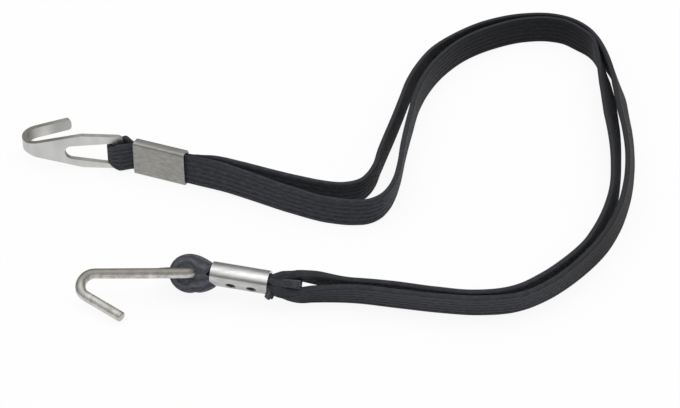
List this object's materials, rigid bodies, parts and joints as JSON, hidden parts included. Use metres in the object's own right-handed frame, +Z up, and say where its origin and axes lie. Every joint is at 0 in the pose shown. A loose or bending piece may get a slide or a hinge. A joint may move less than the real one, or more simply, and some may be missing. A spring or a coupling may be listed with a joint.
{
  "type": "bungee cord",
  "caption": "Flat woven elastic strap doubled into two legs, with a stamped flat hook in a pressed crimp at one end and a bent wire hook in a round ferrule at the other.",
  "frame": {"origin": "on the resting surface, under the middle of the flat crimp", "axes": "+X to the right, from the flat hook towards the bend of the strap; +Y away from the viewer; +Z up, square to the surface the cord lies on"},
  "size_m": [0.2596, 0.2171, 0.017],
  "materials": {
    "woven_strap": "matte ribbed weave",
    "rubber_thread": "matte",
    "zinc_sheet": "satin zinc plate",
    "crimp_steel": "satin",
    "galvanised_wire": "rough galvanised",
    "bright_ferrule": "bright"
  },
  "bodies": {
    "strap_body": {"flat_crimp": "crimp_steel", "strap_hook_bight": "woven_strap", "strap_inner_cover": "woven_strap", "inner_rubber_thread_1": "rubber_thread", "inner_rubber_thread_2": "rubber_thread", "inner_rubber_thread_3": "rubber_thread", "inner_rubber_thread_4": "rubber_thread", "inner_rubber_thread_5": "rubber_thread", "inner_rubber_thread_6": "rubber_thread", "strap_outer_cover": "woven_strap", "outer_rubber_thread_1": "rubber_thread", "outer_rubber_thread_2": "rubber_thread", "outer_rubber_thread_3": "rubber_thread", "outer_rubber_thread_4": "rubber_thread", "outer_rubber_thread_5": "rubber_thread", "outer_rubber_thread_6": "rubber_thread"},
    "flat_hook": {"flat_hook": "zinc_sheet"},
    "wire_end": {"ferrule": "bright_ferrule", "strap_end_loop_outer": "woven_strap", "strap_end_loop_inner": "woven_strap"},
    "wire_hook": {"wire_hook": "galvanised_wire"}
  },
  "joints": [
    {"name": "flat_hook_swing", "type": "hinge", "parent": "strap_body", "child": "flat_hook", "pos_m": [-0.01833, 0.00774, 0.0077], "axis": [0, 0, 1], "range_deg": [-80, 60], "deforming": ["strap_hook_bight"]},
    {"name": "strap_stretch", "type": "slide", "parent": "strap_body", "child": "wire_end", "axis": [-0.9782, 0.2079, 0], "range_m": [0, 0.09], "stiffness_N_per_m": 250, "deforming": ["strap_inner_cover", "inner_rubber_thread_1", "inner_rubber_thread_2", "inner_rubber_thread_3", "inner_rubber_thread_4", "inner_rubber_thread_5", "inner_rubber_thread_6", "strap_outer_cover", "outer_rubber_thread_1", "outer_rubber_thread_2", "outer_rubber_thread_3", "outer_rubber_thread_4", "outer_rubber_thread_5", "outer_rubber_thread_6"]},
    {"name": "wire_hook_swing", "type": "hinge", "parent": "wire_end", "child": "wire_hook", "pos_m": [0.0167, -0.0793, 0.00875], "axis": [-0.1439, -0.8069, 0.5729], "range_deg": [-85, 85]}
  ]
}
